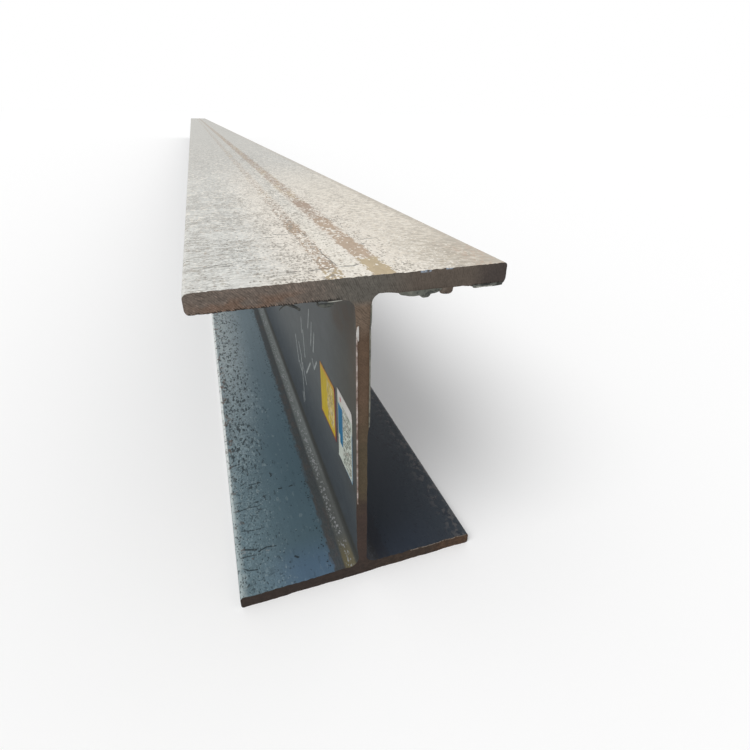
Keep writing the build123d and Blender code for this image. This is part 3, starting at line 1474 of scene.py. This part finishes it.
@dataclass
class RolledSection:
    """The H section: two flanges, a web, four root fillets and rounded flange tips."""

    width: float
    height: float
    web: float = 0.010
    flange: float = 0.016
    root: float = 0.013
    tip: float = 0.0035
    root_steps: int = 10
    tip_steps: int = 5

    @property
    def under(self) -> float:
        """The height of the top flange's lower face."""
        return self.height - self.flange

    def draw(self, near_end: float) -> bpy.types.Object:
        """Draws the section as one face that stands across the beam's length.

        Args:
            near_end: Where it stands along Y.

        Returns:
            The object, left in edit mode.
        """
        Bench.clear()
        bpy.ops.mesh.primitive_plane_add(
            size=1, location=(0, near_end, self.height / 2), rotation=(math.pi / 2, 0, 0)
        )
        piece = Bench.take("beam_skin")
        piece.scale = (self.width, self.height, 1)
        Bench.fix_place()
        bpy.ops.object.mode_set(mode="EDIT")
        for x in (-self.web / 2, self.web / 2):
            Bench.cut((x, 0, 0), (1, 0, 0))
        for z in (self.flange, self.under):
            Bench.cut((0, 0, z), (0, 0, 1))
        Bench.pick(piece, "FACE", self.in_channel)
        bpy.ops.mesh.delete(type="FACE")
        bpy.ops.mesh.select_all(action="SELECT")
        bpy.ops.mesh.dissolve_limited(angle_limit=math.radians(1))
        for where, radius, steps in (
            (self.at_root, self.root, self.root_steps),
            (self.at_tip, self.tip, self.tip_steps),
        ):
            Bench.pick(piece, "VERT", where)
            bpy.ops.mesh.bevel(offset=radius, segments=steps, affect="VERTICES", profile=0.5)
        return piece

    def in_channel(self, at: Vector) -> bool:
        """Whether a point lies in one of the two open channels."""
        return abs(at.x) > self.web / 2 and self.flange < at.z < self.under

    def at_root(self, at: Vector) -> bool:
        """Whether a point is an inside corner, where the web runs into a flange."""
        return abs(abs(at.x) - self.web / 2) < MM and MM < at.z < self.height - MM

    def at_tip(self, at: Vector) -> bool:
        """Whether a point is an outside corner, at the tip of a flange."""
        return abs(abs(at.x) - self.width / 2) < MM / 2


@dataclass
class BeamSkin:
    """The whole visible surface of the beam, with the edges of its cuts as the saw left them.

    The profiles give how far the near cut's edges were dragged: droop downwards by X, and
    web_right and web_left outwards by Z.
    """

    section: RolledSection
    near_end: float
    far_end: float
    node: str = "h_beam"
    rings: int = 40
    end_rings: tuple[float, ...] = (0.0012, 0.0028, 0.005, 0.008, 0.012)
    grid: float = 0.0016
    smooth_angle: float = 35.0
    near: float = 0.0001
    facing_up: float = 0.1
    lip_depth: float = 0.005
    root_share: float = 0.6
    droop_above: float = 0.006
    web_fade: float = 0.022
    corner_width: float = 0.012
    corner_depth: float = 0.008
    corner_sag: float = 0.0022
    droop: tuple[Pair, ...] = (
        (-0.150, 0.0030),
        (-0.045, 0.0033),
        (-0.030, 0.0040),
        (-0.005, 0.0040),
        (0.005, 0.0015),
        (0.022, 0.0018),
        (0.036, 0.0032),
        (0.045, 0.0036),
        (0.103, 0.0036),
        (0.113, 0.0046),
        (0.150, 0.0046),
    )
    web_right: tuple[Pair, ...] = (
        (0.030, 0.0),
        (0.060, 0.0004),
        (0.212, 0.0007),
        (0.228, 0.0024),
        (0.334, 0.0028),
        (0.343, 0.0032),
        (0.352, 0.0048),
        (0.362, 0.0046),
        (0.370, 0.0032),
        (0.376, 0.0014),
        (0.382, 0.0),
    )
    web_left: tuple[Pair, ...] = (
        (0.030, 0.0),
        (0.050, 0.0022),
        (0.120, 0.0024),
        (0.150, 0.0014),
        (0.200, 0.0008),
        (0.340, 0.0008),
        (0.361, 0.0018),
        (0.370, 0.0018),
        (0.378, 0.0),
    )

    def from_end(self, at: Vector) -> float:
        """A point's distance from the nearer cut."""
        return min(at.y - self.near_end, self.far_end - at.y)

    def near_cut(self, at: Vector) -> float:
        """1 on a cut, falling to 0 at the last of the rings beside it."""
        return max(0.0, 1 - self.from_end(at) / self.end_rings[-1]) ** 2

    def build(self) -> bpy.types.Object:
        """Runs the section out to its length and roughens both cuts.

        Returns:
            The finished object.
        """
        piece = self.section.draw(self.near_end)
        length = self.far_end - self.near_end
        bpy.ops.mesh.select_all(action="SELECT")
        bpy.ops.mesh.extrude_region_move(TRANSFORM_OT_translate={"value": (0, length, 0)})
        bpy.ops.mesh.select_all(action="SELECT")
        bpy.ops.mesh.normals_make_consistent(inside=False)
        for step in range(1, self.rings):
            Bench.cut((0, self.near_end + length * step / self.rings, 0), (0, 1, 0))
        for inset in self.end_rings:
            Bench.cut((0, self.near_end + inset, 0), (0, 1, 0))
            Bench.cut((0, self.far_end - inset, 0), (0, 1, 0))
        self.grid_ends(piece)
        bpy.ops.object.mode_set(mode="OBJECT")
        self.coat(piece)
        self.draw_burr(piece)
        self.roughen_cuts(piece)
        Bench.settle(piece, self.smooth_angle)
        return piece

    def grid_ends(self, piece: bpy.types.Object) -> None:
        """Cuts both ends, and the skin just inside them, into small squares.

        Args:
            piece: The object in edit mode.
        """
        Bench.pick(piece, "FACE", lambda at: self.from_end(at) < self.end_rings[-1])
        bpy.ops.mesh.hide(unselected=True)
        width, height = self.section.width, self.section.height
        across = math.ceil(width / self.grid)
        for step in range(1, across):
            Bench.cut((-width / 2 + width * step / across, 0, 0), (1, 0, 0))
        up = math.ceil(height / self.grid)
        for step in range(1, up):
            Bench.cut((0, 0, height * step / up), (0, 0, 1))
        bpy.ops.mesh.reveal(select=False)

    def coat(self, piece: bpy.types.Object) -> None:
        """Gives each face its finish, while the cuts are still flat.

        Args:
            piece: The object in object mode.
        """
        finishes = (BlueMillScale(), WeatheredTopScale(), SawnSteel())
        for finish in finishes:
            piece.data.materials.append(finish.material(self.near_end, self.section))
        _, on_top, on_cut = range(len(finishes))
        upper = self.section.height - self.section.tip
        for face in piece.data.polygons:
            if self.from_end(face.center) < self.near:
                face.material_index = on_cut
            elif face.center.z > upper and face.normal.z > self.facing_up:
                face.material_index = on_top

    def draw_burr(self, piece: bpy.types.Object) -> None:
        """Draws the metal that the blade dragged down and to the right out over the edges.

        Args:
            piece: The object in object mode.
        """
        section = self.section
        most = max(drop for _, drop in self.droop)
        wide = max(out for _, out in self.web_right)

        def drooping(at: Vector) -> float:
            """The lower part of the top flange, down into the fillets beside the web.

            Args:
                at: A point of the skin.

            Returns:
                Its weight.
            """
            above = (at.z - section.under) / self.droop_above
            below = (section.under - at.z) / section.root
            share = max(0.0, 1 - max(above, below))
            return self.near_cut(at) * share * profile(self.droop, at.x) / most

        def aside(at: Vector, outward: float) -> float:
            """1 on one side of the web and just past it, 0 from its middle to the other side."""
            side = within(outward / (section.web / 2))
            past = 1 - (outward - section.web / 2 - section.root) / self.web_fade
            return self.near_cut(at) * side * within(past)

        def bulging(at: Vector) -> float:
            """The right side of the web and its upper fillet."""
            return aside(at, at.x) * profile(self.web_right, at.z) / wide

        def leaning(at: Vector) -> float:
            """The left side of the web and its upper fillet."""
            return aside(at, -at.x) * profile(self.web_left, at.z) / wide

        def sagging(at: Vector) -> float:
            """The upper left corner, rounded off."""
            outward = (self.corner_width - section.width / 2 - at.x) / self.corner_width
            upward = (self.corner_depth - section.height + at.z) / self.corner_depth
            return self.near_cut(at) * max(0.0, outward) ** 2 * max(0.0, upward)

        moves = (
            ("drooping", drooping, -most, "Z"),
            ("bulging", bulging, wide, "X"),
            ("leaning", leaning, -wide, "X"),
            ("sagging", sagging, -self.corner_sag, "Z"),
        )
        for name, weight, _, _ in moves:
            Bench.group(piece, name, weight)
        for name, _, reach, axis in moves:
            Bench.push(piece, name, reach, axis)

    def roughen_cuts(self, piece: bpy.types.Object) -> None:
        """Tears the edges of both cuts and ripples their faces.

        Args:
            piece: The object in object mode.
        """
        section = self.section
        under = section.under

        def face(at: Vector) -> float:
            """The cut face itself."""
            return 1.0 if self.from_end(at) < self.near else 0.0

        def lip(at: Vector) -> float:
            """The lower edge of the top flange, apart from its tips.

            Args:
                at: A point of the skin.

            Returns:
                Its weight.
            """
            inside = abs(at.x) - section.web / 2 - section.root * self.root_share
            outside = section.width / 2 - 2 * section.tip - abs(at.x)
            fade = within(min(inside, outside) / section.tip)
            low = under - self.lip_depth < at.z < under + self.near
            return self.near_cut(at) * fade if low else 0.0

        def web(at: Vector) -> float:
            """Both edges of the web."""
            between = section.flange + section.root < at.z < under - section.root
            beside = section.web / 2 - self.near < abs(at.x) < section.web
            return self.near_cut(at) if between and beside else 0.0

        def top(at: Vector) -> float:
            """The upper edge of the top flange."""
            return self.near_cut(at) ** 2 if at.z > section.height - self.near else 0.0

        def sill(at: Vector) -> float:
            """The upper edge of the bottom flange."""
            inside = abs(at.x) > section.web / 2 + section.root
            return self.near_cut(at) if inside and abs(at.z - section.flange) < MM / 2 else 0.0

        for weight in (face, lip, web, top, sill):
            Bench.group(piece, weight.__name__, weight)
        for name, grain, reach, axis, middle in (
            ("face", 0.022, 0.0020, "Y", 0.5),
            ("face", 0.0035, 0.0006, "Y", 0.5),
            ("lip", 0.020, 0.0016, "Z", 0.5),
            ("lip", 0.0030, 0.0012, "Z", 0.5),
            ("web", 0.020, 0.0012, "X", 0.5),
            ("top", 0.0045, 0.0016, "Z", 0.55),
            ("sill", 0.011, 0.0030, "Z", 0.35),
        ):
            Bench.roughen(piece, name, grain, reach, axis, middle)

    def dress(self, piece: bpy.types.Object) -> None:
        """Hands the piece over in place of the solid beam.

        Args:
            piece: The finished object.
        """
        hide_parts(self.node)
        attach(piece, BODY)


@dataclass
class PaperTag:
    """A paper tag stuck on the left face of the web, its corners lifting a little."""

    node: str
    slot: str
    paper: TagPaper
    near_end: float
    squares: int = 26
    thickness: float = 0.0003
    lift: float = 0.0005
    lifted: float = 0.010
    lift_grain: float = 0.04
    cockle_grain: float = 0.018
    rim_share: float = 0.4
    still_level: float = 0.1
    smooth_angle: float = 40.0

    def build(self) -> bpy.types.Object:
        """Lays the paper on the web as a fine sheet and gives it its thickness.

        Returns:
            The finished object.
        """
        low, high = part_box(self.node)
        Bench.clear()
        bpy.ops.mesh.primitive_grid_add(
            x_subdivisions=self.squares,
            y_subdivisions=self.squares,
            size=1,
            location=(high.x, (low.y + high.y) / 2, (low.z + high.z) / 2),
            rotation=(math.pi / 2, 0, -math.pi / 2),
        )
        piece = Bench.take(f"{self.node}_paper")
        piece.scale = (high.y - low.y, high.z - low.z, 1)
        Bench.fix_place()

        def corner(at: Vector) -> float:
            """1 at the corners of the sheet, falling to 0 inside."""
            dy = min(at.y - low.y, high.y - at.y)
            dz = min(at.z - low.z, high.z - at.z)
            return max(0.0, 1 - math.hypot(dy, dz) / self.lifted) ** 2

        def sheet(at: Vector) -> float:
            """The whole sheet apart from its rim."""
            return 1.0 if min(at.y - low.y, high.y - at.y) > MM else self.rim_share

        Bench.group(piece, "corner", corner)
        Bench.group(piece, "sheet", sheet)
        still = self.still_level
        Bench.roughen(piece, "corner", self.lift_grain, -2 * self.lift, "X", still)
        Bench.roughen(piece, "sheet", self.cockle_grain, -self.thickness, "X", still)
        Bench.modify(piece, "SOLIDIFY", thickness=self.thickness, offset=1.0)
        Bench.settle(piece, self.smooth_angle)
        return piece

    def dress(self, piece: bpy.types.Object) -> None:
        """Prints the paper and hands the piece over.

        Args:
            piece: The finished object.
        """
        low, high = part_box(self.node)
        piece.data.materials.append(self.paper.material(self.near_end, low, high))
        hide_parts(self.node)
        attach(piece, BODY)


class Hang(Enum):
    """The way that a torn lip points away from the edge that it hangs on."""

    DOWN = (0, 0, -1)
    LEFT = (-1, 0, 0)
    RIGHT = (1, 0, 0)


@dataclass
class Burr:
    """A piece of burr on the near cut."""

    name: str
    near_end: float
    finish: TornSteel

    def dress(self, piece: bpy.types.Object) -> None:
        """Gives the piece its finish and hands it over.

        Args:
            piece: The finished object.
        """
        piece.data.materials.append(self.finish.material(self.near_end))
        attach(piece, BODY)


@dataclass
class TornLip(Burr):
    """A thin ragged strip of burr left along an edge of the near cut."""

    start: Pair
    end: Pair
    reach: float
    hang: Hang
    blunt: float
    ragged: float = 0.22
    grain: float = 0.010
    thickness: float = 0.0009
    set_back: float = -0.0003
    step: float = 0.0009
    rows: int = 6
    fewest_columns: int = 8
    wave: float = 0.35
    wave_stretch: float = 1.6
    smooth_angle: float = 60.0

    def build(self) -> bpy.types.Object:
        """Makes the strip, rounds off its ends, tears its free edge and thickens it.

        Returns:
            The finished object.
        """
        first = Vector((self.start[0], 0, self.start[1]))
        last = Vector((self.end[0], 0, self.end[1]))
        along = last - first
        out = Vector(self.hang.value)
        Bench.clear()
        columns = max(self.fewest_columns, int(along.length / self.step))
        bpy.ops.mesh.primitive_grid_add(x_subdivisions=columns, y_subdivisions=self.rows, size=1)
        piece = Bench.take(self.name)
        middle = (first + last + out * self.reach) / 2
        middle.y = self.near_end + self.set_back
        side = along.normalized()
        turn = Matrix((side, out, side.cross(out))).transposed().to_4x4()
        size = Matrix.Diagonal((along.length, self.reach, 1, 1))
        piece.matrix_world = Matrix.Translation(middle) @ turn @ size
        Bench.fix_place()
        tie = first.copy()
        tie.y = middle.y
        straight = (out - side * out.dot(side)).normalized()
        depth = self.reach * out.dot(straight)

        def free(at: Vector) -> float:
            """0 on the edge that holds the strip and 1 on the torn one."""
            return max(0.0, (at - tie).dot(straight) / depth)

        def taper(at: Vector) -> float:
            """How far the strip is drawn in, so that it runs out round at its two ends."""
            share = (at - tie).dot(side) / along.length
            full = max(0.0, 1 - abs(2 * share - 1) ** self.blunt) ** (1 / self.blunt)
            return free(at) * (1 - full)

        axis = "Z" if self.hang is Hang.DOWN else "X"
        sign = -1 if self.hang is Hang.RIGHT else 1
        Bench.group(piece, "free", free)
        Bench.group(piece, "taper", taper)
        Bench.push(piece, "taper", sign * self.reach, axis)
        Bench.roughen(piece, "free", self.grain, sign * self.ragged * self.reach * 2, axis)
        Bench.roughen(piece, "free", self.grain * self.wave_stretch, self.wave * self.reach, "Y")
        Bench.modify(piece, "SOLIDIFY", thickness=self.thickness, offset=0.0)
        Bench.settle(piece, self.smooth_angle)
        return piece


@dataclass
class Curl(Burr):
    """A thread of burr that the blade pulled off the edge and left hanging."""

    route: tuple[Pair, ...]
    radius: float = 0.0008
    thinning: float = 0.8
    sides: int = 8
    set_back: float = 0.0010
    smoothing: int = 2
    smooth_angle: float = 60.0

    def build(self) -> bpy.types.Object:
        """Draws a small round section along the route, thinner from point to point.

        Returns:
            The finished object.
        """
        points = [Vector((x, self.near_end + self.set_back, z)) for x, z in self.route]
        heading = (points[1] - points[0]).to_track_quat("Z", "Y").to_euler()
        Bench.clear()
        bpy.ops.mesh.primitive_circle_add(
            vertices=self.sides,
            radius=self.radius,
            fill_type="NGON",
            location=points[0],
            rotation=heading,
        )
        piece = Bench.take(self.name)
        Bench.fix_place()
        bpy.ops.object.mode_set(mode="EDIT")
        bpy.ops.mesh.select_all(action="SELECT")
        for here, there in zip(points, points[1:]):
            bpy.ops.mesh.extrude_region_move(TRANSFORM_OT_translate={"value": there - here})
            bpy.ops.transform.resize(value=(self.thinning,) * 3, center_override=there)
        bpy.ops.mesh.select_all(action="SELECT")
        bpy.ops.mesh.normals_make_consistent(inside=False)
        bpy.ops.object.mode_set(mode="OBJECT")
        Bench.modify(piece, "SUBSURF", levels=self.smoothing, render_levels=self.smoothing)
        Bench.settle(piece, self.smooth_angle)
        return piece


@dataclass
class Studio:
    """The camera, the soft light, the pale floor and the white room around them."""

    eye: Triple = (-0.121, -6.3785, 0.5167)
    yaw: float = 19.53
    pitch: float = 27.88
    roll: float = 0.66
    focal_pixels: float = 464.9
    frame_pixels: float = 750.0
    shift_y: float = -0.02
    sensor: float = 36.0
    ambient: float = 0.62
    sun_share: float = 0.40
    sun_from: Triple = (-0.50, -0.32, 0.80)
    sun_angle: float = 42.0
    floor_reach: float = 400.0
    floor_seen: float = 0.985
    floor_bounce: float = 0.45
    nearest: float = 0.01

    def build(self) -> None:
        """Sets up everything that isn't the object."""
        self.camera()
        self.sun()
        self.room()
        self.floor()
        bpy.context.scene.view_settings.view_transform = "Standard"

    def hang(self, name: str, data: bpy.types.ID) -> bpy.types.Object:
        """Puts a camera or a lamp into the scene.

        Args:
            name: The object's name.
            data: The camera or lamp.

        Returns:
            The object.
        """
        made = bpy.data.objects.new(name, data)
        bpy.context.scene.collection.objects.link(made)
        return made

    def camera(self) -> None:
        """Stands the camera where the photograph was taken."""
        lens = bpy.data.cameras.new("camera")
        lens.sensor_width = self.sensor
        lens.lens = self.focal_pixels / self.frame_pixels * self.sensor
        lens.shift_y = self.shift_y
        lens.clip_start = self.nearest
        lens.clip_end = 2 * self.floor_reach
        camera = self.hang("camera", lens)
        turn = Matrix.Rotation(math.radians(-self.yaw), 4, "Z")
        tip = Matrix.Rotation(math.radians(90 - self.pitch), 4, "X")
        tilt = Matrix.Rotation(math.radians(self.roll), 4, "Z")
        camera.matrix_world = Matrix.Translation(self.eye) @ turn @ tip @ tilt
        bpy.context.scene.camera = camera

    def sun(self) -> None:
        """Hangs one very wide lamp above the left of the near end."""
        lamp = bpy.data.lights.new("sun", "SUN")
        lamp.angle = math.radians(self.sun_angle)
        towards = Vector(self.sun_from).normalized()
        lamp.energy = self.sun_share * math.pi / towards.z
        self.hang("sun", lamp).rotation_euler = towards.to_track_quat("Z", "Y").to_euler()

    def room(self) -> None:
        """Lights the scene from all around, and shows white behind it."""
        world = bpy.data.worlds.new("room")
        bpy.context.scene.world = world
        r = Recipe(world)
        glow = r.node("Background")
        r.feed(glow.inputs["Color"], (1, 1, 1))
        r.feed(glow.inputs["Strength"], r.remap(r.seen(), self.ambient, 1.0))
        r.close(glow, "OutputWorld")

    def floor(self) -> None:
        """Lays the floor, white to the eye and greyer to the light that it throws back."""
        Bench.clear()
        bpy.ops.mesh.primitive_plane_add(size=2 * self.floor_reach, location=(0, 0, 0))
        floor = Bench.take("floor")
        r = Recipe(bpy.data.materials.new("pale_floor"))
        level = r.remap(r.seen(), self.floor_bounce, self.floor_seen)
        plaster = r.node("BsdfDiffuse")
        r.feed(plaster.inputs["Color"], r.join(level, level, level))
        r.close(plaster)
        floor.data.materials.append(r.owner)


def torn_burr(section: RolledSection, near_end: float) -> list[Burr]:
    """The burr that the saw left on the near cut, as far as it stands out.

    Args:
        section: The rolled section that was cut.
        near_end: The cut's place along Y.

    Returns:
        The lips and curls, those under the top flange from left to right and then the web's.
    """
    droop = 0.0030
    edge = section.under - droop
    half_web = section.web / 2
    # Painted highlight: the shades of the two strips on the web's left edge are burr catching the
    # light, and the pale lip along the top of the dark left lip is a painted highlight on its edge
    shades = {
        "dull": ((104, 106, 98), (128, 128, 118), (66, 68, 64)),
        "dark": ((54, 55, 52), (110, 112, 106), (38, 40, 39)),
        "brown": ((92, 80, 70), (112, 102, 92), (60, 54, 50)),
        "pink": ((160, 143, 135), (200, 189, 183), (118, 98, 88)),
        "bright": ((186, 181, 175), (212, 209, 205), (150, 142, 134)),
        "edging": ((120, 120, 110), (138, 138, 128), (86, 86, 80)),
        "pale": ((150, 150, 142), (182, 182, 174), (96, 96, 90)),
        "tangle": ((46, 48, 46), (92, 94, 88), (34, 36, 35)),
    }
    steel = {
        shade: TornSteel(f"torn_{shade}", *(paint(*tone) for tone in tones))
        for shade, tones in shades.items()
    }

    def curl(name: str, *route: Pair, **sizes: float) -> Curl:
        """A dark thread that hangs from the top flange."""
        return Curl(name, near_end, steel["dark"], route, **sizes)

    def lip(name: str, start: Pair, end: Pair, reach: float, shade: str, blunt: float) -> TornLip:
        """A lip that hangs down from the top flange."""
        return TornLip(name, near_end, steel[shade], start, end, reach, Hang.DOWN, blunt)

    def strip(
        name: str, start: Pair, end: Pair, reach: float, hang: Hang, shade: str, blunt: float
    ) -> TornLip:
        """A smooth strip that stands out in front of the web's edge."""
        smooth = {"ragged": 0.10, "grain": 0.022, "thickness": 0.0012, "set_back": -0.0014}
        return TornLip(name, near_end, steel[shade], start, end, reach, hang, blunt, **smooth)

    left, right = Hang.LEFT, Hang.RIGHT
    left_low = (-half_web - 0.0014, 0.122)
    left_high = (-half_web + 0.0006, 0.3425)
    knob_low = (-half_web + 0.0014, 0.3275)
    knob_high = (-half_web + 0.0014, 0.3430)
    right_low = (half_web + 0.0016, 0.226)
    right_middle = (half_web + 0.0024, 0.343)
    right_start = (half_web + 0.0024, 0.340)
    right_high = (half_web + 0.0036, 0.364)
    return [
        curl("curl_left", (-0.067, edge), (-0.0705, 0.3698), (-0.0732, 0.3682), (-0.0745, 0.3662)),
        curl(
            "curl_left_long",
            (-0.068, edge),
            (-0.0650, 0.3697),
            (-0.0615, 0.3686),
            (-0.0584, 0.3664),
            (-0.0562, 0.3642),
            radius=0.0011,
            thinning=1.07,
        ),
        curl("neck_left", (-0.0412, edge), (-0.0408, 0.3694), (-0.0400, 0.3676), thinning=1.0),
        lip("lip_left_dark", (-0.0420, 0.3692), (-0.0260, 0.3684), 0.0040, "tangle", 2.0),
        lip("lip_left_pale", (-0.0320, 0.3697), (-0.0180, 0.3701), 0.0006, "pale", 3.0),
        lip("lip_right", (0.036, edge), (0.080, edge), 0.0050, "dull", 2.0),
        lip("lip_right_tooth", (0.0555, edge), (0.0690, edge), 0.0074, "dull", 2.4),
        lip("lip_right_lump", (0.077, edge), (0.092, edge), 0.0060, "brown", 2.6),
        lip("lip_tip", (0.113, 0.3704), (0.1470, 0.3704), 0.0030, "dark", 6.0),
        lip("lip_tip_pale", (0.117, 0.3686), (0.1450, 0.3686), 0.0011, "pale", 5.0),
        strip("lip_web_left", left_low, left_high, 0.0013, left, "pink", 4.0),
        strip("lip_web_left_knob", knob_low, knob_high, 0.0023, left, "bright", 1.7),
        strip("lip_web_right", right_low, right_middle, 0.0012, right, "edging", 6.0),
        strip("lip_web_right_high", right_start, right_high, 0.0012, right, "dull", 3.0),
    ]


def paper_tags(near_end: float) -> list[PaperTag]:
    """The two tags on the web.

    Args:
        near_end: The near end's place along Y.

    Returns:
        The white tag and the yellow one.
    """
    white = TagPaper(
        "white_print",
        TagPrint.TABLE,
        ground=paint(206, 213, 202),
        rim=paint(0, 106, 150),
        ink=paint(84, 88, 74),
        panel=paint(190, 78, 84),
        header=paint(232, 220, 220),
        tint=paint(206, 186, 176),
    )
    yellow = TagPaper(
        "yellow_print",
        TagPrint.BLOCK,
        ground=paint(206, 179, 20),
        rim=paint(134, 48, 42),
        ink=paint(150, 134, 104),
        panel=paint(230, 216, 186),
        header=paint(226, 150, 70),
        tint=paint(200, 176, 50),
    )
    return [
        PaperTag("white_label", "white_tag_paper", white, near_end),
        PaperTag("yellow_label", "yellow_tag_paper", yellow, near_end),
    ]


def main() -> None:
    """Builds the beam, its burr and its tags, and then the studio around them."""
    low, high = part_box("h_beam")
    section = RolledSection(width=high.x - low.x, height=high.z - low.z)
    parts = [BeamSkin(section, near_end=low.y, far_end=high.y)]
    parts += torn_burr(section, low.y)
    parts += paper_tags(low.y)
    for part in parts:
        piece = part.build()
        part.dress(piece)
        log.info("%s: %d faces", piece.name, len(piece.data.polygons))
    Studio().build()


if __name__ == "__main__":
    logging.basicConfig(level=logging.INFO, format="%(message)s")
    main()
